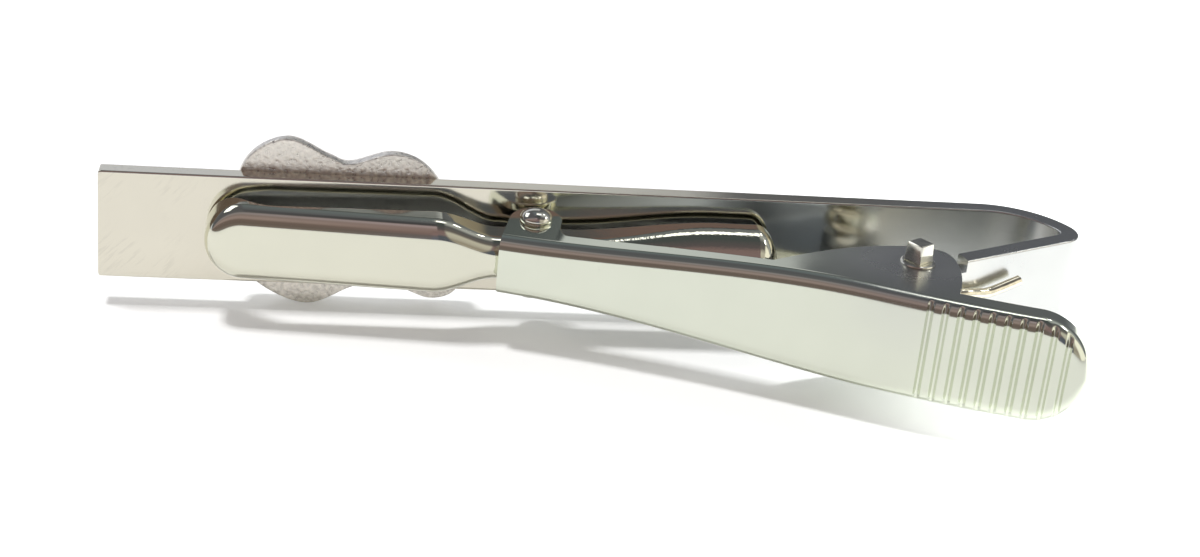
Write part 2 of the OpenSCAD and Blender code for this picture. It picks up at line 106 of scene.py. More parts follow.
def make_camera():
    data = bpy.data.cameras.new("photo_view")
    data.lens, data.sensor_width, data.clip_start = LENS, SENSOR_WIDTH, NEAREST
    camera = placed("photo_view", data)
    up, back = [-c for c in CAMERA_DOWN], [-c for c in CAMERA_AHEAD]
    turn = Matrix((CAMERA_RIGHT, up, back)).transposed()
    camera.matrix_world = Matrix.Translation(Vector(metres(CAMERA_AT))) @ turn.to_4x4()
    bpy.context.scene.camera = camera
    return camera


print("camera at", tuple(round(c, 4) for c in make_camera().location))

# %% [markdown]
# ## Metal finishes
# All of it is metal, so a Principled shader with Metallic at 1 carries every finish, and what
# tells the pieces apart is how rough they are. Bright plate is nearly a mirror, but handling
# leaves hairline scratches along it, and small spots where the shine has gone. Noise stretched
# along one axis makes the hairlines, and a second, sparse noise the spots. A material is a chain
# of nodes, so short helpers that hand back a node's output keep the recipes easy to read.


# %% Helpers for nodes
def feed(node, inputs):
    """Gives a node its inputs: a value each, or an output socket to link."""
    for key, value in inputs.items():
        if isinstance(value, bpy.types.NodeSocket):
            value.id_data.links.new(value, node.inputs[key])
        else:
            node.inputs[key].default_value = value
    return node


def link_new(kind, inputs=(), tree=None, **settings):
    """A new node with its settings and inputs, in the tree of the first socket it is linked to."""
    inputs = dict(inputs)
    if tree is None:
        sockets = (value for value in inputs.values() if isinstance(value, bpy.types.NodeSocket))
        tree = next(sockets).id_data
    node = tree.nodes.new(kind)
    for key, value in settings.items():
        setattr(node, key, value)
    return feed(node, inputs)


def sums(operation, *values):
    """What a Math node makes of its values."""
    node = link_new("ShaderNodeMath", dict(enumerate(values)), operation=operation)
    return node.outputs[0]


def ranged(value, low, high, to=(0.0, 1.0), smooth=False):
    """A value carried from one range onto another, and held at both ends."""
    inputs = {"Value": value, "From Min": low, "From Max": high, "To Min": to[0], "To Max": to[1]}
    way = "SMOOTHSTEP" if smooth else "LINEAR"
    return link_new("ShaderNodeMapRange", inputs, interpolation_type=way).outputs["Result"]


eased = partial(ranged, smooth=True)


def axes(place):
    return link_new("ShaderNodeSeparateXYZ", {"Vector": place}).outputs


# %% Helpers for patterns, colours and bumps
def noise(place, scale, detail):
    inputs = {"Vector": place, "Scale": scale, "Detail": detail}
    return link_new("ShaderNodeTexNoise", inputs).outputs["Fac"]


def mapped(place, key, value):
    """A place turned or stretched, so that a pattern on it is too."""
    return link_new("ShaderNodeMapping", {"Vector": place, key: value}).outputs["Vector"]


def blended(factor, first, second, how="MIX"):
    inputs = {0: factor, 6: first, 7: second}
    return link_new("ShaderNodeMix", inputs, data_type="RGBA", blend_type=how).outputs[2]


def bumped(height, strength, depth, under=None):
    """A normal ruffled by a height, on top of another bump where one is given."""
    inputs = {"Height": height, "Strength": strength, "Distance": depth}
    if under is not None:
        inputs["Normal"] = under
    return link_new("ShaderNodeBump", inputs).outputs["Normal"]


def new_material(name, metallic=1.0):
    material = bpy.data.materials.new(name)
    material.use_nodes = True
    shader = feed(material.node_tree.nodes["Principled BSDF"], {"Metallic": metallic})
    place = link_new("ShaderNodeTexCoord", tree=material.node_tree).outputs["Object"]
    return material, shader, place


# %% Scuffs rubbed into one end
SCUFF_SCALE, SCUFF_STRETCH, SCUFF_PATCHES = 6500.0, 0.12, 420.0


def scuffed(place, shade, low, high, turn, strength):
    """A shade with fine slanting scratches: full up to low, gone from high, in clip mm along X."""
    slanted = mapped(place, "Rotation", (0.0, turn, 0.0))
    drawn = mapped(slanted, "Scale", (SCUFF_STRETCH, 1.0, 1.0))
    lines = ranged(noise(drawn, SCUFF_SCALE, 3.0), 0.52, 0.62)
    patches = ranged(noise(place, SCUFF_PATCHES, 2.0), 0.42, 0.58)
    most, none = metres([(low, 0, 0), (high, 0, 0)])[:, 0]
    at_end = ranged(axes(place)["X"], none, most)
    share = sums("MULTIPLY", sums("MULTIPLY", lines, patches), at_end)
    darker = sums("MULTIPLY_ADD", share, -strength, 1.0)
    return sums("MULTIPLY", shade, darker)


# %% Bright plate, used on the strip, the lever and the jaw
HAIR_SCALE, PEEL_SCALE, CLOUD_SCALE, SPECK_SCALE = 2600.0, 1100.0, 320.0, 2100.0
HAIR_BUMP, PEEL_BUMP, FINE_DEPTH = 0.05, 0.12, 0.00001
SPECK_ROUGH, SPECK_SHADE, CLOUD_SHADE = 0.3, 0.45, 0.93
GRAIN_SCALE, GRAIN_BUMP, GRAIN_ONSET = 5200.0, 0.3, 2.0
DULL_SHADE_GREY = (0.86, 0.87, 0.85)


def bright_plate(name, colour, rough, along=(1.0, 1.0, 1.0), dull=None, grain_from=None,
                 scuffs=None):
    """Plated sheet. Rough is its lowest and highest roughness, and along stretches its hairlines.

    Dull is (point in clip mm, inner and outer radius in mm, how much rougher); near the point the
    plate is also painted a darker grey, as painted shade. Grain_from is where along X, in clip mm,
    a fine grain sets in."""
    material, shader, place = new_material(name)
    clouds = noise(place, CLOUD_SCALE, 6.0)
    specks = ranged(noise(place, SPECK_SCALE, 2.0), 0.79, 0.82)
    roughness = ranged(clouds, 0.35, 0.65, rough)
    roughness = sums("MULTIPLY_ADD", specks, SPECK_ROUGH, roughness)
    tone = (*colour, 1.0)
    if dull:
        point, inner, outer, rougher = dull
        inputs = {0: place, 1: tuple(metres(point))}
        away = link_new("ShaderNodeVectorMath", inputs, operation="DISTANCE")
        near = eased(away.outputs["Value"], outer * MM, inner * MM)
        roughness = sums("MULTIPLY_ADD", near, rougher, roughness)
        # Near the point the plate is also painted a darker, greyer tint: painted shade.
        grey = sum(colour) / 3
        tone = blended(near, tone, (*(grey * c for c in DULL_SHADE_GREY), 1.0))
    shade = ranged(clouds, 0.0, 1.0, (1.0, CLOUD_SHADE))
    shade = ranged(specks, 0.0, 1.0, (shade, SPECK_SHADE))
    if scuffs:
        shade = scuffed(place, shade, *scuffs)
    peel = bumped(noise(place, PEEL_SCALE, 2.0), PEEL_BUMP, FINE_DEPTH)
    hairs = noise(mapped(place, "Scale", along), HAIR_SCALE, 5.0)
    bump = bumped(hairs, HAIR_BUMP, FINE_DEPTH, peel)
    if grain_from is not None:
        start = metres((grain_from, 0, 0))[0]
        past = ranged(axes(place)["X"], start, start + GRAIN_ONSET * MM, (0.0, GRAIN_BUMP))
        bump = bumped(noise(place, GRAIN_SCALE, 1.0), past, 2 * FINE_DEPTH, bump)
    colours = blended(1.0, tone, shade, "MULTIPLY")
    feed(shader, {"Roughness": roughness, "Base Color": colours, "Normal": bump})
    return material


# %% The plates of the three sheet pieces
# The strip's dull patch sits in its bend and along its tongue, and the lever's round the hinge
# pin; both are painted darker as well, as painted shade.
strip_plate = bright_plate(
    "bright_strip_plate", (0.765, 0.735, 0.625), (0.07, 0.12), (0.25, 1.0, 1.6),
    dull=((50.0, -3.5, 0.0), 4.0, 11.0, 0.16), scuffs=(3.5, 7.5, 0.8, 0.07))
lever_plate = bright_plate(
    "bright_lever_plate", (0.75, 0.785, 0.67), (0.07, 0.12), (0.4, 1.0, 1.4),
    dull=((43.48, -7.58, 2.9), 1.5, 6.5, 0.2))
jaw_plate = bright_plate(
    "bright_jaw_plate", (0.765, 0.765, 0.64), (0.06, 0.10), (0.4, 1.0, 1.4), grain_from=25.0)
# The insides of the lever's channel and the jaw's trough are rougher, and painted a darker, bluer
# plate: painted shade inside the channels.
inside_painted_shade_plate = bright_plate("dull_inside_painted_shade", (0.50, 0.54, 0.60), (0.35, 0.45))
jaw_inside_painted_shade_plate = bright_plate("dull_jaw_inside_painted_shade", (0.58, 0.64, 0.75), (0.35, 0.45))
print("plates", strip_plate.name, lever_plate.name, jaw_plate.name)


# %% Swaged pin metal, spring wire and the ornament's two finishes
def worked_metal(name, colour, rough, grain, bump_strength, dark_share, depth):
    """Metal with one grain, which shades it, roughens it and ruffles it together."""
    material, shader, place = new_material(name)
    height = noise(place, grain, 6.0)
    roughness = ranged(height, 0.3, 0.7, (rough * 0.7, rough * 1.4))
    dark = (*(c * dark_share for c in colour), 1.0)
    tint = blended(ranged(height, 0.38, 0.62), dark, (*colour, 1.0))
    bump = bumped(height, bump_strength, depth)
    feed(shader, {"Roughness": roughness, "Base Color": tint, "Normal": bump})
    return material


pin_metal = worked_metal("swaged_pin_metal", (0.80, 0.79, 0.70), 0.12, 1500.0, 0.1, 0.85, 0.00001)
wire_metal = worked_metal("drawn_spring_wire", (0.92, 0.87, 0.70), 0.12, 2500.0, 0.1, 0.8, 0.00005)
cast_back = worked_metal("grainy_cast_back", (1.0, 0.96, 0.88), 0.32, 3800.0, 0.9, 0.72, 0.00006)
cast_front = bright_plate("polished_cast_front", (0.80, 0.78, 0.70), (0.05, 0.09))
print("worked metals", pin_metal.name, wire_metal.name, cast_back.name)

# %% [markdown]
# ## Carrying a section along a path
# The strip, the lever and the jaw are sheet metal, so each is a closed loop of points, the sheet's
# own outline in section, repeated at many stations. Python builds these, because each loop
# follows formulas: how wide the channel is there, how high its walls stand, how tightly its edge
# is folded. A loop that closes up to a line at a round end is welded, and shading turns sharp
# only at real edges.

# %% A mesh, its shading, and a tube skinned through loops
rad = math.radians
SHARP_ANGLE, WELD = 35.0, 2e-7


def plain_mesh(name, points, edges, faces):
    """A mesh of points in clip mm."""
    mesh = bpy.data.meshes.new(name)
    mesh.from_pydata([tuple(p) for p in metres(points)], edges, faces)
    return mesh


def shade_mesh(mesh, sharp_angle=SHARP_ANGLE):
    """Smooth shading that breaks at edges sharper than an angle."""
    mesh.shade_smooth()
    mesh.set_sharp_from_angle(angle=rad(sharp_angle))


def skinned(name, loops, material, close_first=True, close_last=True, inside=None):
    """A tube through equal closed loops of points, whose inner face can have its own material."""
    count = len(loops[0])
    last = (len(loops) - 1) * count
    faces = [(i + j, i + (j + 1) % count, i + count + (j + 1) % count, i + count + j)
             for i in range(0, last, count) for j in range(count)]
    if close_first:
        faces.append(tuple(range(count - 1, -1, -1)))
    if close_last:
        faces.append(tuple(range(last, last + count)))
    mesh = plain_mesh(name, [p for loop in loops for p in loop], [], faces)
    if inside:
        low, high = inner_columns(count)
        for k, face in enumerate(mesh.polygons[:]):
            face.material_index = 1 if low <= k % count < high else 0
    work = bmesh.new()
    work.from_mesh(mesh)
    bmesh.ops.remove_doubles(work, verts=work.verts, dist=WELD)
    bmesh.ops.dissolve_degenerate(work, edges=work.edges, dist=WELD)
    bmesh.ops.recalc_face_normals(work, faces=work.faces)
    work.to_mesh(mesh)
    work.free()
    shade_mesh(mesh)
    for finish in filter(None, (material, inside)):
        mesh.materials.append(finish)
    return placed(name, mesh)


# %% Turned pieces, and the result of a modifier
def about(at, radius, turn, z):
    """A point round an upright axis through a point of the plan."""
    return at[0] + radius * math.cos(turn), at[1] + radius * math.sin(turn), z


def turned_piece(name, at, profile, material, sides=72):
    """Turns (radius, height) points about an upright axis."""
    loops = [[about(at, r, 2 * math.pi * k / sides, z) for k in range(sides)] for r, z in profile]
    return skinned(name, loops, material)


def keep_result(piece, modifier, sharp_angle):
    """Makes what a modifier gives the piece's plain mesh, and removes the modifier."""
    bpy.context.view_layer.update()
    shown = piece.evaluated_get(bpy.context.evaluated_depsgraph_get())
    mesh = bpy.data.meshes.new_from_object(shown)
    piece.modifiers.remove(modifier)
    piece.data = mesh
    shade_mesh(mesh, sharp_angle)


# %% Helpers for formulas
def root(value):
    return math.sqrt(value) if value > 1e-9 else 0.0


def smooth_step(value):
    value = min(1.0, max(0.0, value))
    return value * value * (3 - 2 * value)


def mixed(a, b, share):
    return a + (b - a) * share


def outward(degrees):
    """The way out of a surface that has turned so far from facing along Y."""
    return np.array([math.sin(rad(degrees)), math.cos(rad(degrees))])


# %% [markdown]
# ## The strip
# One strip of metal, bent in a gentle arc and then a tight one, comes back under itself as a
# tongue. A rounded rectangle carried along that path gives the strip its thickness and the
# slightly broken edges that catch the light. The tongue is cut to pass between the lever's ears,
# and slotted for the spring's coil, with true cylinders, as the CAD part is.

# %% The strip's path in plan
GENTLE_R, GENTLE_TURN, TIGHT_R, SLOPE = 5.15, 65.0, 1.65, 26.3
BAR_LENGTH, TONGUE_REACH, PIN_R = 54.0, 10.15, 0.55
BEND_START = BAR_LENGTH - TIGHT_R - (GENTLE_R - TIGHT_R) * math.sin(rad(GENTLE_TURN))
gentle_mid = np.array([BEND_START, BAR_THICK - GENTLE_R])
tight_mid = gentle_mid + (GENTLE_R - TIGHT_R) * outward(GENTLE_TURN)
tongue_dir = np.array([-math.cos(rad(SLOPE)), -math.sin(rad(SLOPE))])
tongue_out = np.array([math.sin(rad(SLOPE)), -math.cos(rad(SLOPE))])
PIN_OFF_OUTER = BAR_THICK + PIN_R * 0.15
pin_at = tight_mid + TONGUE_REACH * tongue_dir + (TIGHT_R - PIN_OFF_OUTER) * tongue_out
print("hinge pin at", pin_at.round(3))


def bend(middle, radius, first, last, steps):
    """Stations round an arc: a point on it and the direction out of it, first angle left out."""
    ways = [outward(first + (last - first) * k / steps) for k in range(1, steps + 1)]
    return [(middle + radius * out, out) for out in ways]


def strip_path():
    """Stations of the strip: a point on its outer face and the direction out of it."""
    free_end = [0.0, 0.012, 0.03, 0.05, 0.08, 0.12, 0.16, 0.2]
    stations = [(np.array([x, BAR_THICK]), outward(0))
                for x in free_end + list(np.linspace(0.9, BEND_START, 58))]
    stations += bend(gentle_mid, GENTLE_R, 0.0, GENTLE_TURN, 32)
    stations += bend(tight_mid, TIGHT_R, GENTLE_TURN, 180 - SLOPE, 40)
    foot = tight_mid + TIGHT_R * tongue_out
    return stations + [(foot + tongue_dir * (TONGUE_REACH * k / 20), tongue_out)
                       for k in range(1, 21)]


# %% The strip's rounded section
STRIP_EDGE, STRIP_GUARD, STRIP_CORNER, END_INSET = 0.08, 0.05, 0.16, 0.05
ARC_STEPS = 3


def shifted(spot, distance, turn):
    return spot[0] + distance * math.cos(turn), spot[1] - distance * math.sin(turn)


def rounded_section(half, inset):
    """Loop of (height, depth under the outer face) round the strip's section.

    A guard point just inside each rounded edge keeps the wide faces truly flat mirrors."""
    corners = ((half, 0, 1, 1), (half, BAR_THICK, 1, -1), (-half, BAR_THICK, -1, -1),
               (-half, 0, -1, 1))
    loop = []
    for (z, depth, side, way), start in zip(corners, (90, 0, 270, 180)):
        middle = z - side * (STRIP_EDGE + inset), depth + way * (STRIP_EDGE + inset)
        turns = [rad(start - 90 * k / ARC_STEPS) for k in range(ARC_STEPS + 1)]
        arc = [shifted(middle, STRIP_EDGE, turn) for turn in turns]
        loop += [shifted(arc[0], STRIP_GUARD, turns[0] + rad(90)), *arc,
                 shifted(arc[-1], STRIP_GUARD, turns[-1] - rad(90))]
    return loop


def strip_loops():
    loops = []
    for at, out in strip_path():
        x = at[0] if at[1] > 0 else BAR_LENGTH
        inward = max(0.0, STRIP_CORNER - x)
        rounding = STRIP_CORNER - root(STRIP_CORNER * STRIP_CORNER - inward * inward)
        inset = END_INSET * max(0.0, 1 - x / END_INSET) ** 2
        loops.append([(at[0] - out[0] * d, at[1] - out[1] * d, z)
                      for z, d in rounded_section(BAR_WIDTH / 2 - rounding, inset)])
    return loops


# %% Make the strip and cut the tongue
PAD_WIDTH, SHEET, EAR, PIN_HEIGHT, WIRE_D = 5.9, 0.45, 7.1, 4.65, 0.55
LUG_THICK, LUG_R, SIDE_GAP, BORE_GAP, EAR_GAP, SLOT_GAP = 0.75, 1.2, 0.05, 0.04, 0.36, 0.45
LUG_OUTER = PAD_WIDTH / 2 - SHEET - SIDE_GAP
LUG_INNER = LUG_OUTER - LUG_THICK
EAR_SWEEP_R = EAR - PIN_HEIGHT + EAR_GAP
SLOT_R = PIN_OFF_OUTER + WIRE_D + SLOT_GAP
OVERRUN = 4


def on_pin(piece, operation, radius, low, high):
    """Cuts a cylinder round the hinge pin's axis out of a piece, or adds it to the piece."""
    tool = turned_piece("tool", pin_at, [(radius, low), (radius, high)], strip_plate, 96)
    modifier = piece.modifiers.new("cut", "BOOLEAN")
    modifier.operation = operation
    modifier.solver = "EXACT"
    modifier.object = tool
    keep_result(piece, modifier, SHARP_ANGLE)
    bpy.data.objects.remove(tool)


strip = skinned("bent_strip", strip_loops(), strip_plate)
on_pin(strip, "DIFFERENCE", EAR_SWEEP_R, LUG_OUTER, OVERRUN)
on_pin(strip, "DIFFERENCE", EAR_SWEEP_R, -OVERRUN, -LUG_OUTER)
on_pin(strip, "DIFFERENCE", SLOT_R, -LUG_INNER, LUG_INNER)
on_pin(strip, "UNION", LUG_R, LUG_INNER, LUG_OUTER)
on_pin(strip, "UNION", LUG_R, -LUG_OUTER, -LUG_INNER)
on_pin(strip, "DIFFERENCE", PIN_R + BORE_GAP, -OVERRUN, OVERRUN)
print("strip", len(strip.data.polygons), "faces")

# %% [markdown]
# ## The lever
# Pressed from thin sheet, it is a channel that widens from its mouth to the hinge, with two big
# ears that hold the pin, two small ones that hold the jaw, and a round pad for the thumb. One
# function gives the outline of the wall along the path, another its width, and the face itself
# bows one way and then, under the thumb, the other.

# %% The lever's face in plan
LEVER_REACH, PAD_REACH, BOW_R, PAD_BOW_R = 21.6, 7.2, 102.0, 70.0
FOLD_R, FLANGE, PAD_RIM, SMALL_EAR, MOUTH_WIDTH = 0.8, 1.6, 1.8, 1.4, 3.4
RIVET_DEPTH, RIVET_HEIGHT = 1.55, 2.76
BOW_LENGTH = LEVER_REACH - 2
BOW = math.degrees(BOW_LENGTH / BOW_R)
bow_end = np.array([BOW_R * math.sin(rad(BOW)), -BOW_R * (1 - math.cos(rad(BOW)))])


def face_angle(s):
    if s < BOW_LENGTH:
        return math.degrees(s / BOW_R)
    return BOW - math.degrees((s - BOW_LENGTH) / PAD_BOW_R)


def face_at(s):
    a, b = rad(face_angle(s)), rad(BOW)
    if s < BOW_LENGTH:
        return np.array([BOW_R * math.sin(a), -BOW_R * (1 - math.cos(a))])
    return bow_end + PAD_BOW_R * np.array([math.sin(b) - math.sin(a), math.cos(b) - math.cos(a)])


def face_up(s):
    return outward(face_angle(s))


def on_face(s):
    return face_at(s), face_up(s)


# %% The lever's turn, which lays its rivet over the strip
def turned(p, degrees):
    c, s = math.cos(rad(degrees)), math.sin(rad(degrees))
    return np.array([p[0] * c - p[1] * s, p[0] * s + p[1] * c])


pin_in_lever = face_at(LEVER_REACH) + PIN_HEIGHT * face_up(LEVER_REACH)
rivet_in_lever = face_at(SMALL_EAR) + RIVET_HEIGHT * face_up(SMALL_EAR)
to_rivet = rivet_in_lever - pin_in_lever
rivet_drop = math.asin((-RIVET_DEPTH - pin_at[1]) / np.linalg.norm(to_rivet))
LEVER_TURN = 180 - math.degrees(rivet_drop) - math.degrees(math.atan2(to_rivet[1], to_rivet[0]))
rivet_at = pin_at + turned(to_rivet, LEVER_TURN)
print("lever turned by", round(LEVER_TURN, 2), "rivet at", rivet_at.round(3))


def from_lever(p):
    return pin_at + turned(np.asarray(p) - pin_in_lever, LEVER_TURN)


# %% The lever's walls and width
EAR_START, EAR_PEAK = LEVER_REACH - EAR, LEVER_REACH + EAR * 0.11
EAR_END = EAR_PEAK + (EAR - PAD_RIM) * 0.39
PAD_MID, PAD_R = LEVER_REACH + PAD_REACH, PAD_WIDTH / 2
EAR_FOOT_R, MOUTH_LEAN, WALL_LEAN = 0.6, 8.0, 5.0


def lever_wall(s):
    """How high the wall stands: small ear, its rounded foot, flange, big ear, rim of the pad."""
    if s <= 2 * SMALL_EAR:
        return RIVET_HEIGHT + root(SMALL_EAR ** 2 - (s - SMALL_EAR) ** 2)
    if s < 2 * SMALL_EAR + EAR_FOOT_R:
        down = root(1 - (1 - (s - 2 * SMALL_EAR) / EAR_FOOT_R) ** 2)
        return mixed(RIVET_HEIGHT, FLANGE, down)
    if s < EAR_START:
        return FLANGE
    if s < EAR_PEAK:
        rise = math.sin(math.pi / 2 * (s - EAR_START) / (EAR_PEAK - EAR_START))
        return mixed(FLANGE, EAR, rise)
    if s < EAR_END:
        return mixed(PAD_RIM, EAR, root(1 - ((s - EAR_PEAK) / (EAR_END - EAR_PEAK)) ** 2))
    return PAD_RIM


def lever_lean(s):
    """How many degrees the wall leans outward."""
    past = s - 2 * SMALL_EAR
    lean = mixed(MOUTH_LEAN, WALL_LEAN, smooth_step(past / EAR_FOOT_R))
    return lean * (1 - smooth_step(past / (EAR_START - 2 * SMALL_EAR)))


def lever_half(s):
    return mixed(MOUTH_WIDTH, PAD_WIDTH, smooth_step(s / (LEVER_REACH - 1))) / 2


# %% A pressed section with a rounded rim
EDGE, GUARD, LEAST_R, FOLD_STEPS, RIM_POINTS = 0.11, 0.04, 0.02, 12, 8


def fold_rise(rho, half, r):
    d = max(0.0, rho - half + r)
    return r - root(r * r - d * d)


def pressed_section(half, r, wall, floor_steps=4, lean=0.0):
    """Half a section, from the middle of its outer face over its rim to the middle inside.

    Each point is (depth in the sheet, distance from the middle, height). Lean, in degrees, opens
    the wall outward, as sheet springs back a little after it is pressed."""
    outer, inner = [], []
    for depth, row in ((0.0, outer), (SHEET, inner)):
        h, q = half - depth, max(r - depth, LEAST_R)
        flat = h - q - GUARD
        for k in range(floor_steps + 1):
            row.append((depth, flat * k / floor_steps, depth))
        for k in range(FOLD_STEPS + 1):
            rho = h - q + q * math.sin(math.pi / 2 * k / FOLD_STEPS)
            row.append((depth, rho, depth + fold_rise(rho, h, q)))
        low, high = depth + q + GUARD, wall - EDGE - GUARD
        row.append((depth, h, min(low, (low + high) / 2)))
        row.append((depth, h, max(high, (low + high) / 2)))
    turns = [math.pi / 2 * k / (RIM_POINTS // 2 - 1) for k in range(RIM_POINTS // 2)]
    rim = [(EDGE * (1 - math.cos(t)), EDGE * math.sin(t)) for t in turns]
    rim += [(SHEET - EDGE + EDGE * math.sin(t), EDGE * math.cos(t)) for t in turns]
    rim = [(d, half - d, wall - EDGE + rise) for d, rise in rim]
    slope = math.tan(rad(lean))
    return [(d, rho + slope * max(0.0, height - r), height)
            for d, rho, height in outer + rim + inner[::-1]]


def rounded_end(depth, rho, height, past, half, r, wall):
    """A section's point over a round end, where nothing lies nearer the middle than past."""
    if rho >= past:
        return depth, rho, height
    if height < wall - EDGE:
        height = min(depth, SHEET) + fold_rise(past, half - depth, max(r - depth, LEAST_R))
    return depth, past, height


def station_loop(section, share, end_r, place_of):
    """The closed loop at a station; share runs from 0 to 1 over a round end of radius end_r.

    Place_of gives, for a depth in the sheet, the face's point there and the way up from it."""
    side = []
    for depth, rho, height in section:
        (x, y), up = place_of(depth)
        past = share * (end_r - depth)
        side.append((x + up[0] * height, y + up[1] * height, root(rho * rho - past * past)))
    return side + [(x, y, -z) for x, y, z in side[::-1]]


def inner_columns(count):
    """Which of a pressed tube's columns, from and up to, are the sheet's inside."""
    row = (count // 2 - RIM_POINTS) // 2
    return row + RIM_POINTS, count - row - RIM_POINTS


# %% Stations of the lever and its mesh
WALL_STATIONS, RIB_STEP = 34, 0.05


def lever_stations():
    small_end = 2 * SMALL_EAR + EAR_FOOT_R
    rows = [SMALL_EAR * (1 - math.cos(rad(t))) for t in range(0, 181, 9)]
    rows += [2 * SMALL_EAR + EAR_FOOT_R * (1 - math.cos(rad(t))) for t in range(9, 90, 9)]
    rows += list(np.linspace(small_end, EAR_START, WALL_STATIONS))
    rows += list(np.linspace(EAR_START, EAR_PEAK, WALL_STATIONS))
    rows += [EAR_PEAK + (EAR_END - EAR_PEAK) * math.sin(rad(t)) for t in range(3, 91, 3)]
    rows += list(np.arange(LEVER_REACH + 0.8, PAD_MID, RIB_STEP))
    return sorted(set(round(r, 4) for r in rows))


def lever_loops():
    loops = []
    for s in lever_stations():
        section = pressed_section(lever_half(s), FOLD_R, lever_wall(s), lean=lever_lean(s))
        loops.append(station_loop(section, 0.0, PAD_R, lambda d: on_face(s)))
    for share in (math.sin(rad(t)) for t in range(0, 91)):
        section = [rounded_end(*point, share * (PAD_R - point[0]), PAD_R, FOLD_R, PAD_RIM)
                   for point in pressed_section(PAD_R, FOLD_R, PAD_RIM)]
        loops.append(station_loop(section, share, PAD_R,
                                  lambda d: on_face(PAD_MID + share * (PAD_R - d))))
    return [[(*from_lever(p[:2]), p[2]) for p in loop] for loop in loops]


lever = skinned("lever_channel", lever_loops(), lever_plate, True, False, inside_painted_shade_plate)
print("lever", len(lever.data.polygons), "faces")

# %% [markdown]
# ## Ribs on the thumb pad
# Ten fine grooves are struck across the pad, so that a thumb doesn't slip. They repeat at one
# pitch, so a Geometry Nodes tree makes them: it reads how far each point lies along the lever,
# finds the nearest groove and presses the sheet in by a rounded profile. A new pitch or count is
# then one input of the tree, and not new mesh.

# %% Distance along the lever, kept on the mesh for the tree
HALVINGS = 26
PRESSED_FULL, PRESSED_FADE = FOLD_R * 0.55, FOLD_R * 0.45


def lever_along(point):
    """Reach along the lever's face and height over it, of a point in clip mm, and the way up."""
    local = pin_in_lever + turned(np.array(point[:2]) - pin_at, -LEVER_TURN)
    low, high = 0.0, PAD_MID + PAD_R + 2
    for _ in range(HALVINGS):
        mid = (low + high) / 2
        a = rad(face_angle(mid))
        ahead = float(np.dot(local - face_at(mid), (math.cos(a), -math.sin(a))))
        low, high = (mid, high) if ahead > 0 else (low, mid)
    up = face_up(mid)
    return mid, float(np.dot(local - face_at(mid), up)), turned(up, LEVER_TURN)


def mark_grooves(piece):
    """Keeps two attributes: each point's reach along the lever, and the way it can be pressed."""
    mesh = piece.data
    reach = mesh.attributes.new("reach", "FLOAT", "POINT")
    press = mesh.attributes.new("press", "FLOAT_VECTOR", "POINT")
    for vertex in mesh.vertices:
        s, height, up = lever_along((np.array(vertex.co) - np.array(CLIP_AT)) / MM)
        weight = smooth_step((PRESSED_FULL - height) / PRESSED_FADE) if s > LEVER_REACH else 0.0
        reach.data[vertex.index].value = s * MM
        press.data[vertex.index].vector = (up[0] * weight, up[1] * weight, 0.0)


mark_grooves(lever)


# %% Making and running a Geometry Nodes tree
TREE_SHARP_ANGLE = 40.0


def tree_with(name, **inputs):
    """An empty tree with named inputs, each of a kind of socket."""
    tree = bpy.data.node_groups.new(name, "GeometryNodeTree")
    shape = {"name": "Geometry", "socket_type": "NodeSocketGeometry"}
    tree.interface.new_socket(in_out="INPUT", **shape)
    for label, kind in inputs.items():
        tree.interface.new_socket(
            name=label.replace("_", " "), in_out="INPUT", socket_type="NodeSocket" + kind)
    tree.interface.new_socket(in_out="OUTPUT", **shape)
    return tree, tree.nodes.new("NodeGroupInput").outputs, tree.nodes.new("NodeGroupOutput")


def finish_tree(geometry, result, finish, selection=True):
    """Ends a tree in Realize Instances and Set Material."""
    real = link_new("GeometryNodeRealizeInstances", {"Geometry": geometry})
    finished = link_new("GeometryNodeSetMaterial", {
        "Geometry": real.outputs["Geometry"], "Selection": selection, "Material": finish})
    feed(result, {"Geometry": finished.outputs["Geometry"]})


def run_tree(piece, tree, values):
    """Runs a Geometry Nodes tree on a piece and keeps the result as a plain mesh."""
    modifier = piece.modifiers.new(tree.name, "NODES")
    modifier.node_group = tree
    for item in tree.interface.items_tree:
        if item.in_out == "INPUT" and item.name in values:
            modifier[item.identifier] = values[item.name]
    keep_result(piece, modifier, TREE_SHARP_ANGLE)


# %% The groove tree
def groove_tree():
    tree, given, result = tree_with(
        "grooves_across_a_pad", First_Groove="Float", Pitch="Float", Count="Int", Width="Float",
        Depth="Float", Finish="Material")

    def kept(name, kind):
        node = link_new("GeometryNodeInputNamedAttribute", {"Name": name}, tree, data_type=kind)
        return node.outputs["Attribute"]
    past = sums("SUBTRACT", kept("reach", "FLOAT"), given["First Groove"])
    counted = sums("ROUND", sums("DIVIDE", past, given["Pitch"]))
    nearest = sums("MINIMUM", sums("MAXIMUM", counted, 0.0), sums("SUBTRACT", given["Count"], 1.0))
    away = sums("ABSOLUTE", sums("SUBTRACT", past, sums("MULTIPLY", nearest, given["Pitch"])))
    share = sums("DIVIDE", away, sums("MULTIPLY", given["Width"], 0.5))
    bowl = sums("MAXIMUM", sums("SUBTRACT", 1.0, sums("MULTIPLY", share, share)), 0.0)
    offset = link_new("ShaderNodeVectorMath", {
        0: kept("press", "FLOAT_VECTOR"), "Scale": sums("MULTIPLY", bowl, given["Depth"])},
        operation="SCALE").outputs["Vector"]
    moved = link_new("GeometryNodeSetPosition", {
        "Geometry": given["Geometry"], "Offset": offset}).outputs["Geometry"]
    slot = link_new("GeometryNodeInputMaterialIndex", tree=tree).outputs["Material Index"]
    finish_tree(moved, result, given["Finish"], sums("LESS_THAN", slot, 0.5))
    return tree


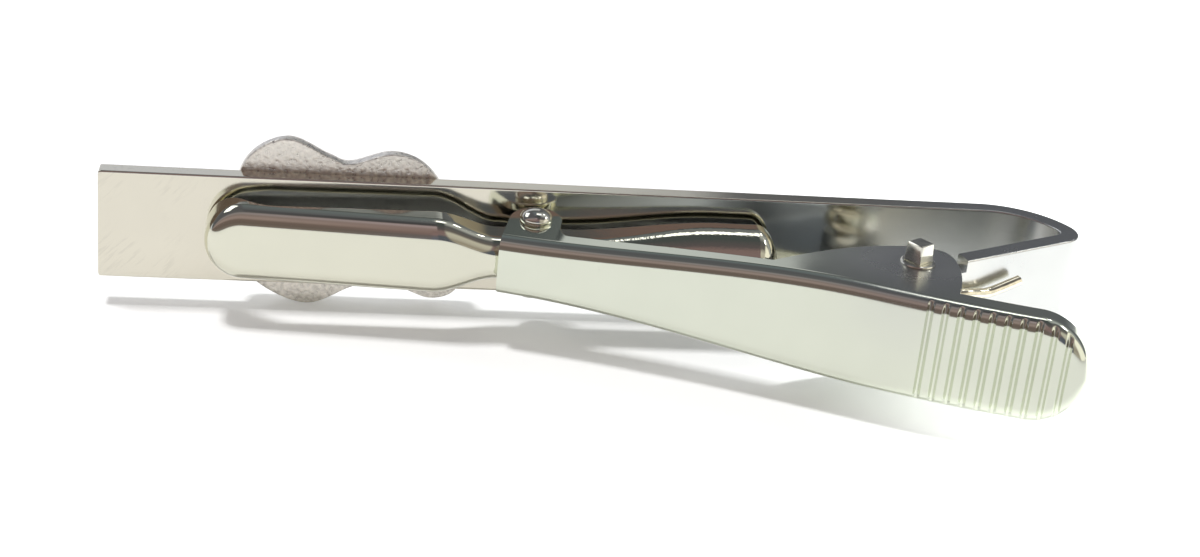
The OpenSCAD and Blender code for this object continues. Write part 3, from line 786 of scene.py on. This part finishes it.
run_tree(lever, groove_tree(), {
    "First Groove": 23.2 * MM, "Pitch": 0.8 * MM, "Count": 10, "Width": 0.36 * MM,
    "Depth": 0.18 * MM, "Finish": lever_plate})
print("grooves pressed into", len(lever.data.vertices), "points")

# %% [markdown]
# ## The jaw
# A little trough, closed round its nose like the bowl of a spoon, narrows to pass between the
# lever's small ears, and its tail is pressed to a half-round. The same sheet section serves, with
# both ends drawn shut.

# %% The jaw's outline
JAW_HALF, TAIL_HALF, NECK_HALF = 2.05, 1.75, MOUTH_WIDTH / 2 - SHEET - SIDE_GAP
NOSE_REACH, TAIL_REACH, NECK_MARGIN, TAIL_MARGIN = 17.85, 13.7, 0.6, 0.15
NOSE_X = rivet_at[0] - NOSE_REACH
NOSE_MID_X = NOSE_X + JAW_HALF
NECK_X = rivet_at[0] - SMALL_EAR - NECK_MARGIN
SHOULDER_X = NECK_X - 2 * JAW_HALF * 0.85
TAIL_X = rivet_at[0] + SMALL_EAR + TAIL_MARGIN
TAIL_ROUND = TAIL_HALF * 0.75
TAIL_MID_X = rivet_at[0] + TAIL_REACH - TAIL_ROUND
TAIL_FULL_X = mixed(TAIL_X, TAIL_MID_X, 0.8)
NOSE_DEPTH, SHOULDER_DEPTH, NECK_DEPTH, JAW_FOLD_R = 2.3, 3.35, 3.2, 0.95
JAW_LEAN, TAIL_LEAN, JAW_STEP = 0.11, 0.11 * 0.9, 0.25
RIM_LIFT, JAW_GAP, RIVET_R, WAIST_LIFT, RIM_RISE = 0.8, 0.05, 0.45, 1.5, 3.6


def to_neck(x):
    """0 on the jaw's body and 1 from its neck on."""
    return smooth_step((x - SHOULDER_X) / (NECK_X - SHOULDER_X))


def to_tail(x):
    """0 up to the jaw's neck and 1 on its full tail."""
    return smooth_step((x - TAIL_X) / (TAIL_FULL_X - TAIL_X))


def jaw_half_at(x):
    if x < TAIL_X:
        return mixed(JAW_HALF, NECK_HALF, to_neck(x))
    return mixed(NECK_HALF, TAIL_HALF, to_tail(x))


def jaw_depth_at(x):
    if x < SHOULDER_X:
        return mixed(NOSE_DEPTH, SHOULDER_DEPTH, (x - NOSE_X) / (SHOULDER_X - NOSE_X))
    return mixed(SHOULDER_DEPTH, NECK_DEPTH, to_neck(x))


def jaw_fold_at(x):
    return min(mixed(JAW_FOLD_R, TAIL_HALF, to_tail(x)), jaw_half_at(x))


def jaw_rim_at(x):
    """The rim's distance from the strip: least at the nose, and lifted over the waist."""
    if x < SHOULDER_X:
        return mixed(JAW_GAP, WAIST_LIFT, smooth_step((x - NOSE_X) / RIM_RISE))
    if x < NECK_X:
        return mixed(WAIST_LIFT, RIM_LIFT, to_neck(x))
    bump = min(1.0, abs(x - rivet_at[0]) / (RIVET_R * 4))
    return RIM_LIFT - (RIM_LIFT - RIVET_R / 2) / 2 * (1 + math.cos(math.pi * bump))


# %% The jaw's mesh
def jaw_loop(x_mid, share, reach, half):
    """A loop of the jaw; share runs to 1 (or -1) over a round end of a given reach and half."""
    def place_of(depth):
        x = x_mid + share * (reach - depth)
        return (x, -jaw_depth_at(x)), (0.0, 1.0)
    x = place_of(0)[0][0]
    wall = jaw_depth_at(x) - jaw_rim_at(x)
    r = jaw_fold_at(x)
    lean = JAW_LEAN * (1 - to_neck(x)) + TAIL_LEAN * to_tail(x)
    lean *= 1 - share ** 2
    section = []
    for point in pressed_section(half, r, wall, 3):
        past = abs(share) * (half - point[0])
        depth, rho, height = rounded_end(*point, past, half, r, wall)
        section.append((depth, rho + lean * height, height))
    return station_loop(section, abs(share), half, place_of)


def jaw_loops():
    nose = [(NOSE_MID_X, -math.sin(rad(t)), JAW_HALF, JAW_HALF) for t in range(90, -1, -2)]
    straight = [(x, 0.0, 0.0, jaw_half_at(x))
                for x in np.arange(NOSE_MID_X + JAW_STEP, TAIL_MID_X, JAW_STEP)]
    tail = [(TAIL_MID_X, math.sin(rad(t)), TAIL_ROUND, TAIL_HALF) for t in range(0, 91, 2)]
    return [jaw_loop(*station) for station in nose + straight + tail]


jaw = skinned("jaw_trough", jaw_loops(), jaw_plate, False, False, jaw_inside_painted_shade_plate)
print("jaw", len(jaw.data.polygons), "faces")

# %% [markdown]
# ## Rivet and hinge pin
# Both are short rods whose ends were hammered over. The rivet's heads are low domes, so a turned
# profile makes them. The hinge pin ends in little four-sided stubs on thin collars, with their
# edges knocked soft, which a bevel of a few segments gives.

# %% The rivet, turned with a dome at each end
SEAT = lever_half(SMALL_EAR) + 0.03
HEAD_R, HEAD_H, DOME_FOOT, DOME_RISE = 0.9, 0.86, 0.42, 0.58


def mirrored(profile):
    """A turned profile with its lower half, which mirrors the upper one."""
    return [(r, -z) for r, z in profile[::-1]] + profile[1:]


dome = [(HEAD_R * math.cos(rad(t)), SEAT + HEAD_H * (DOME_FOOT + DOME_RISE * math.sin(rad(t))))
        for t in range(-40, 90, 6)] + [(0.02, SEAT + HEAD_H)]
shank = [(RIVET_R, 0.0), (RIVET_R, SEAT - 0.02), (RIVET_R * 1.15, SEAT)]
rivet = turned_piece("jaw_rivet_domed", rivet_at, mirrored(shank + dome), pin_metal)
print("rivet", len(rivet.data.polygons), "faces")

# %% The hinge pin's squared ends
half_pad = PAD_WIDTH / 2
COLLAR_R, COLLAR_H, STUB_H, STUB_FOOT, STUB_TOP, STUB_TURN = 0.95, 0.14, 1.05, 1.15, 1.0, 80.0
STUB_BEVEL, PIN_SHARP_ANGLE = 0.00009, 22.0


def squared_stub(side):
    base, top = half_pad + COLLAR_H * 0.8, half_pad + COLLAR_H + STUB_H
    work = bmesh.new()
    rings = []
    for size, z in ((STUB_FOOT, base), (STUB_TOP, top)):
        ring = [about(pin_at, size / math.sqrt(2), rad(STUB_TURN + 90 * k), side * z)
                for k in range(4)]
        rings.append([work.verts.new(spot) for spot in metres(ring)])
    for k in range(4):
        work.faces.new((rings[0][k], rings[0][(k + 1) % 4], rings[1][(k + 1) % 4], rings[1][k]))
    work.faces.new(rings[1])
    work.faces.new(rings[0][::-1])
    bmesh.ops.recalc_face_normals(work, faces=work.faces)
    bmesh.ops.bevel(work, geom=work.edges[:], offset=STUB_BEVEL, segments=3, profile=0.6,
                    affect="EDGES")
    mesh = bpy.data.meshes.new("stub")
    work.to_mesh(mesh)
    work.free()
    mesh.shade_smooth()
    return placed("stub", mesh)


# %% The hinge pin
def joined(name, pieces):
    """Several meshes as one object, which keeps the first one's materials."""
    work = bmesh.new()
    for piece in pieces:
        work.from_mesh(piece.data)
    mesh = bpy.data.meshes.new(name)
    work.to_mesh(mesh)
    work.free()
    for material in pieces[0].data.materials:
        mesh.materials.append(material)
    for piece in pieces:
        bpy.data.objects.remove(piece)
    return placed(name, mesh)


collar = [(PIN_R, 0.0), (PIN_R, half_pad), (COLLAR_R - 0.04, half_pad),
          (COLLAR_R, half_pad + 0.05), (COLLAR_R - 0.03, half_pad + 0.11),
          (COLLAR_R - 0.1, half_pad + COLLAR_H), (0.3, half_pad + COLLAR_H)]
shaft = turned_piece("shaft", pin_at, mirrored(collar), pin_metal)
pin = joined("hinge_pin_squared", [shaft, squared_stub(1), squared_stub(-1)])
shade_mesh(pin.data, PIN_SHARP_ANGLE)
print("pin", len(pin.data.polygons), "faces")

# %% [markdown]
# ## The torsion spring
# A wound wire is a tube along a path, which is what Geometry Nodes does best: the script only
# lays down the wire's centre line, round the pin and out along its legs, and the tree puts a round
# wire on it.


# %% A smooth curve through points
def smooth_curve(points, steps, closed=False):
    """A curve through every point; an open one is led straight past its ends."""
    rows = [np.array(p, float) for p in points]
    first, last = (rows[-1:], rows[:2]) if closed else (
        [2 * rows[0] - rows[1]], [2 * rows[-1] - rows[-2]])
    rows = first + rows + last
    curve = []
    for a, b, c, d in zip(rows, rows[1:], rows[2:], rows[3:]):
        for t in (k / steps for k in range(steps)):
            curve.append(b + (c - a) * t / 2 + (2 * a - 5 * b + 4 * c - d) * t * t / 2
                         + (3 * b - a - 3 * c + d) * t ** 3 / 2)
    return curve if closed else curve + [rows[-2]]


# %% The wire's centre line
COIL_GAP, TURNS, COIL_STEPS, LEG_SPREAD, PAD_LEG_DROP = 0.18, 3, 130, 15, 41
COIL_R = PIN_R + COIL_GAP + WIRE_D / 2
COIL_TOP = LUG_INNER - WIRE_D * 0.6
PAD_LEG_ANGLE = LEVER_TURN - face_angle(LEVER_REACH) - PAD_LEG_DROP
PAD_LEG_FROM = PAD_LEG_ANGLE + 90
COIL_SWEEP = SLOPE - LEG_SPREAD - 90 - PAD_LEG_FROM + 360 * TURNS
LEG_ON_TONGUE, LEG_UNDER_PAD, PAD_LEG_STEPS = 6.1, 6.6, 12
# The free leg's points: how far along the tongue, wire widths off it, and share of the coil's top.
FREE_LEG = ((SLOT_R, 0.17, 1.04), (LEG_ON_TONGUE * 0.54, 0.3, 0.95),
            (LEG_ON_TONGUE * 0.68, 0.37, 0.94), (LEG_ON_TONGUE, 0.4, 1.2))


def wire_centre_line():
    coil, leg = [], []
    for k in range(COIL_STEPS + 1):
        turn = rad(PAD_LEG_FROM + COIL_SWEEP * k / COIL_STEPS)
        coil.append(about(pin_at, COIL_R, turn, mixed(-COIL_TOP, COIL_TOP, k / COIL_STEPS)))
    for k in range(PAD_LEG_STEPS, 0, -1):
        reach = LEG_UNDER_PAD * k / PAD_LEG_STEPS
        leg.append(about(coil[0], reach, rad(PAD_LEG_ANGLE), -COIL_TOP))
    off = PIN_OFF_OUTER + WIRE_D / 2 + SIDE_GAP
    free = [coil[-1]]
    for reach, lift, height in FREE_LEG:
        spot = pin_at - reach * tongue_dir + (off + WIRE_D * lift) * tongue_out
        free.append((*spot, COIL_TOP * height))
    return leg + coil + [tuple(p) for p in smooth_curve(free, 8)[1:]]


# %% The wire tree and the spring
def wire_tree():
    tree, given, result = tree_with(
        "round_wire_on_a_path", Radius="Float", Sides="Int", Finish="Material")
    curve = link_new("GeometryNodeMeshToCurve", {"Mesh": given["Geometry"]})
    ring = link_new("GeometryNodeCurvePrimitiveCircle", {
        "Resolution": given["Sides"], "Radius": given["Radius"]})
    wire = link_new("GeometryNodeCurveToMesh", {
        "Curve": curve.outputs["Curve"], "Profile Curve": ring.outputs["Curve"],
        "Fill Caps": True})
    finish_tree(wire.outputs["Mesh"], result, given["Finish"])
    return tree


line = wire_centre_line()
links = [(i, i + 1) for i in range(len(line) - 1)]
spring = placed("spring_wire", plain_mesh("spring_wire", line, links, []))
run_tree(spring, wire_tree(), {"Radius": WIRE_D / 2 * MM, "Sides": 20, "Finish": wire_metal})
wire_length = sum(math.dist(a, b) for a, b in zip(line, line[1:]))
print("spring", len(spring.data.polygons), "faces,", round(wire_length, 1), "mm of wire")

# %% [markdown]
# ## The ornament
# A small casting with two uneven lobes is fixed to the strip's front. Its back, all that the
# photograph shows, is flat, grainy and darker, as castings are where nobody polishes them. Its
# front has a raised border round a low dome. The outline is a smooth curve through a few points,
# and rings of it, each at its own size and depth, make both faces.

# %% Outline and rings of the ornament
ORNAMENT_START, ORNAMENT_LENGTH, ORNAMENT_HEIGHT, FRONT_FROM = 7.0, 13.1, 9.8, 0.9
OUTLINE = [(0, 0.04), (0.057, 0.37), (0.22, 0.512), (0.4, 0.415), (0.495, 0.378), (0.68, 0.448),
           (0.832, 0.357), (0.955, 0.08), (1, -0.2), (0.965, -0.375), (0.86, -0.428),
           (0.73, -0.368), (0.63, -0.34), (0.52, -0.377), (0.33, -0.488), (0.122, -0.37),
           (0.023, -0.165)]
BACK_RINGS = [(0.001, 0.0), (0.5, 0.0), (0.978, 0.0), (0.985, 0.0), (0.995, 0.02), (1.0, 0.07),
              (1.0, 0.11), (1.0, 0.46), (1.0, 0.5), (0.997, 0.56)]
BORDER_RINGS = [(0.97, 0.96), (0.964, 1.04), (0.956, 1.1), (0.95, 1.1), (0.915, 1.1), (0.91, 1.1),
                (0.903, 1.07), (0.9, 1.0), (0.896, 0.66), (0.893, 0.61), (0.885, 0.61)]
DOME_RINGS = [(0.86, 0.67), (0.8, 0.76), (0.73, 0.84), (0.66, 0.89), (0.55, 0.95), (0.45, 0.99),
              (0.33, 1.02), (0.22, 1.04), (0.1, 1.05), (0.001, 1.055)]


def ornament_loops():
    line = np.array([(ORNAMENT_START + x * ORNAMENT_LENGTH, z * ORNAMENT_HEIGHT)
                     for x, z in smooth_curve(OUTLINE, 12, closed=True)])
    mid = np.array([ORNAMENT_START + ORNAMENT_LENGTH / 2, 0.0])
    return [[(x, BAR_THICK + depth, z) for x, z in mid + (line - mid) * share]
            for share, depth in BACK_RINGS + BORDER_RINGS + DOME_RINGS]


ornament = skinned("lobed_ornament", ornament_loops(), cast_back)
ornament.data.materials.append(cast_front)
front_from = CLIP_AT.y + (BAR_THICK + FRONT_FROM) * MM
for face in ornament.data.polygons:
    face.material_index = 1 if face.center.y > front_from else 0
print("ornament", len(ornament.data.polygons), "faces")

# %% [markdown]
# ## Who moves with what
# Each piece takes the place of its CAD node and rides on the same body, so the hinge opens the
# lever with its pin and rivet, and the jaw swivels on the rivet. The spring rides on no body.

# %% Put the pieces on their bodies
for piece, node, body, slot in (
        (strip, "bar", "bar", "polished_plate"), (ornament, "ornament", "bar", "ornament_metal"),
        (lever, "lever", "lever", "polished_plate"), (pin, "hinge_pin", "lever", "pin_metal"),
        (rivet, "jaw_rivet", "lever", "pin_metal"), (jaw, "jaw", "jaw", "polished_plate")):
    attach(piece, body)
    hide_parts(node)
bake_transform(spring)
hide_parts("torsion_spring")

# %% [markdown]
# ## Floor, light and surroundings
# A mirror-bright object is only as good as what it reflects. Every face that looks down or
# forward mirrors the white paper that the clip lies on. What looks up mirrors the dim room behind,
# and the folds between the two sweep past the side of the room behind the camera. So the world is
# a room painted by direction: brown low in front, near-black above that, grey behind, with a
# pale window low at the back. The paper hides all of it from the camera.

# %% White paper
PAPER_WHITE, PAPER_LIGHT = (0.9, 0.9, 0.9, 1.0), (0.96, 1.0, 0.985, 1.0)
# Each stretch of the floor is (from, to) in frame metres, where its share rises from 0 to 1.
AWAY, RIGHT, BESIDE = (0.03, 0.14), (0.010, 0.024), (-0.016, -0.006)
IN_FRONT, PAST_BEND = (0.010, 0.006), (0.026, 0.030)
# The glows are painted light: the paper shines of itself, more on its right to wash out the shadow
# there and, in what the metal mirrors, more near the clip; its faint blue-green light tints the
# shadow.
SEEN_GLOW, MIRRORED_GLOW, SEEN_LIGHT_POOL, MIRRORED_LIGHT_POOL = (0.22, 0.5), (0.10, 0.0), 0.7, 0.75


def paper_material():
    """Matt paper that takes the shadow, with a little light of its own for what looks at it: a
    painted pool of light on its right that washes out the shadow there, and, in what the metal
    mirrors, a painted glow near the clip.
    """
    material, shader, place = new_material("white_paper", metallic=0.0)
    far = link_new("ShaderNodeVectorMath", {0: place}, operation="LENGTH").outputs["Value"]
    spot = axes(place)
    # Right is a painted pool of light on the paper's right side.
    right = eased(spot["X"], *RIGHT)
    open_floor = sums("MAXIMUM", eased(spot["Y"], *IN_FRONT), eased(spot["X"], *PAST_BEND))
    beside = sums("MULTIPLY", eased(spot["Y"], *BESIDE), open_floor)
    seen = sums("MULTIPLY_ADD", right, SEEN_LIGHT_POOL, eased(far, *AWAY, SEEN_GLOW))
    mirrored = sums("MULTIPLY_ADD", sums("MULTIPLY", right, beside), MIRRORED_LIGHT_POOL,
                    eased(far, *AWAY, MIRRORED_GLOW))
    path = link_new("ShaderNodeLightPath", tree=material.node_tree).outputs
    by_mirror = sums("MAXIMUM", path["Is Glossy Ray"], path["Is Transmission Ray"])
    glow = sums("ADD", sums("MULTIPLY", path["Is Camera Ray"], seen),
                sums("MULTIPLY", by_mirror, mirrored))
    feed(shader, {"Base Color": PAPER_WHITE, "Roughness": 0.9, "Specular IOR Level": 0.0,
                  "Emission Color": PAPER_LIGHT, "Emission Strength": glow})
    return material


paper_mesh = bpy.data.meshes.new("paper")
paper_mesh.from_pydata([(-1.2, -0.9, 0), (1.2, -0.9, 0), (1.2, 1.2, 0), (-1.2, 1.2, 0)], [],
                       [(0, 1, 2, 3)])
paper_mesh.materials.append(paper_material())
paper = placed("paper", paper_mesh)
print("paper", tuple(round(d, 2) for d in paper.dimensions[:2]), "m")

# %% The colours of the dim room
# A stop is (share, red, green, blue). Share runs from 0 in front over 0.5 overhead to 1 behind.
BEHIND = ((0.83, 0.14, 0.145, 0.16), (0.917, 0.125, 0.13, 0.145), (1.0, 0.32, 0.33, 0.35))
MIDDLE = (
    (0.0, 0.16, 0.175, 0.25), (0.1, 0.165, 0.15, 0.18), (0.175, 0.27, 0.18, 0.19),
    (0.25, 0.25, 0.168, 0.168), (0.33, 0.31, 0.22, 0.23), (0.395, 0.42, 0.33, 0.36),
    (0.425, 0.38, 0.3, 0.33), (0.455, 0.075, 0.068, 0.078), (0.51, 0.075, 0.073, 0.085),
    (0.56, 0.135, 0.14, 0.16), (0.655, 0.15, 0.169, 0.192), (0.74, 0.16, 0.18, 0.2),
    (0.765, 0.11, 0.12, 0.125), (0.8, 0.11, 0.12, 0.125)) + BEHIND
LEFT_SIDE = (
    (0.0, 0.26, 0.23, 0.22), (0.04, 0.2, 0.16, 0.15), (0.09, 0.17, 0.13, 0.12),
    (0.19, 0.19, 0.14, 0.13), (0.25, 0.35, 0.265, 0.26), (0.29, 0.35, 0.265, 0.26),
    (0.34, 0.27, 0.21, 0.21), (0.4, 0.31, 0.27, 0.29), (0.45, 0.13, 0.125, 0.14),
    (0.56, 0.11, 0.11, 0.125), (0.66, 0.12, 0.12, 0.138)) + BEHIND
RIGHT_NEAR = (
    (0.0, 0.11, 0.12, 0.16), (0.13, 0.11, 0.12, 0.15), (0.19, 0.25, 0.175, 0.185),
    (0.29, 0.24, 0.165, 0.168), (0.36, 0.12, 0.1, 0.11), (0.5, 0.075, 0.085, 0.09),
    (0.6, 0.075, 0.085, 0.09), (0.615, 2.2, 2.2, 2.2), (0.665, 2.2, 2.2, 2.2),
    (0.68, 0.2, 0.21, 0.225), (0.76, 0.19, 0.2, 0.215), (0.775, 0.06, 0.065, 0.07),
    (0.8, 0.07, 0.075, 0.08)) + BEHIND
RIGHT_FAR = (
    (0.0, 0.5, 0.46, 0.4), (0.08, 0.36, 0.31, 0.26), (0.17, 0.55, 0.51, 0.45),
    (0.28, 0.62, 0.58, 0.51), (0.36, 0.16, 0.14, 0.14), (0.5, 0.12, 0.12, 0.13),
    (0.56, 0.34, 0.34, 0.35), (0.61, 0.5, 0.51, 0.53), (0.75, 0.22, 0.23, 0.24)) + BEHIND
# The pane's stops run from its left to its right.
PANE = ((0.0, 0.66, 0.68, 0.75), (0.14, 0.64, 0.66, 0.72), (0.3, 0.66, 0.67, 0.69),
        (0.55, 0.62, 0.63, 0.65), (0.7, 0.52, 0.53, 0.55))
LOW_RIGHT_GLOW = (1.15, 1.10, 0.98, 1.0)


# %% The dim room
def ramp_of(factor, stops):
    node = link_new("ShaderNodeValToRGB", {"Fac": factor})
    ramp = node.color_ramp
    while len(ramp.elements) < len(stops):
        ramp.elements.new(0.5)
    for element, (position, *colour) in zip(ramp.elements, stops):
        element.position = position
        element.color = (*colour, 1.0)
    return node.outputs["Color"]


def make_room():
    """A world whose colour follows a ray's share, and its X from the left to the right side."""
    world = bpy.data.worlds.new("dim_room")
    world.use_nodes = True
    tree = world.node_tree
    way = axes(link_new("ShaderNodeTexCoord", tree=tree).outputs["Generated"])
    swing = sums("ARCTAN2", way["Z"], sums("MULTIPLY", way["Y"], -1.0))
    share = sums("MULTIPLY", swing, 1 / math.pi)
    room = ramp_of(share, MIDDLE)
    for low, high, stops in ((-0.04, -0.16, LEFT_SIDE), (0.05, 0.085, RIGHT_NEAR),
                             (0.27, 0.35, RIGHT_FAR)):
        room = blended(eased(way["X"], low, high), room, ramp_of(share, stops))
    low_right = sums("MULTIPLY", eased(way["X"], 0.68, 0.8), eased(share, 0.55, 0.45))
    room = blended(low_right, room, LOW_RIGHT_GLOW)
    window = sums("MULTIPLY", eased(way["X"], 0.205, 0.182), eased(share, 0.80, 0.818))
    pane = ramp_of(ranged(way["X"], -0.1, 0.3), PANE)
    feed(tree.nodes["Background"], {"Color": blended(window, room, pane)})
    bpy.context.scene.world = world
    return world


print("room of", len(make_room().node_tree.nodes), "nodes")


# %% Soft studio lamps
def area_lamp(name, way, far, size, watts, colour=(1, 1, 1)):
    """A rectangular lamp, so far from the clip's middle, that looks back at it."""
    data = bpy.data.lights.new(name, "AREA")
    data.shape = "RECTANGLE"
    data.size, data.size_y = size
    data.energy, data.color = watts, colour
    lamp = placed(name, data)
    lamp.location = Vector(way).normalized() * far + Vector((0, 0, 0.005))
    lamp.rotation_euler = (-Vector(way)).to_track_quat("-Z", "Y").to_euler()
    return lamp


area_lamp("lamp_right", (0.71, 0.17, 0.68), 0.4, (0.09, 0.05), 0.09, (1.0, 0.99, 0.97))
area_lamp("lamp_behind", (0.45, 0.50, 0.73), 0.4, (0.035, 0.02), 0.02)
area_lamp("window_left", (-0.50, 0.42, 0.68), 0.4, (0.22, 0.11), 0.17, (0.97, 0.985, 1.0))
ceiling = area_lamp("ceiling", (-0.28, 0.05, 1.0), 0.6, (0.09, 0.09), 2.27)
ceiling.visible_glossy = False
print("lamps", [light.name for light in bpy.data.lights])

# %% Finish
bpy.context.scene.view_settings.view_transform = "Standard"
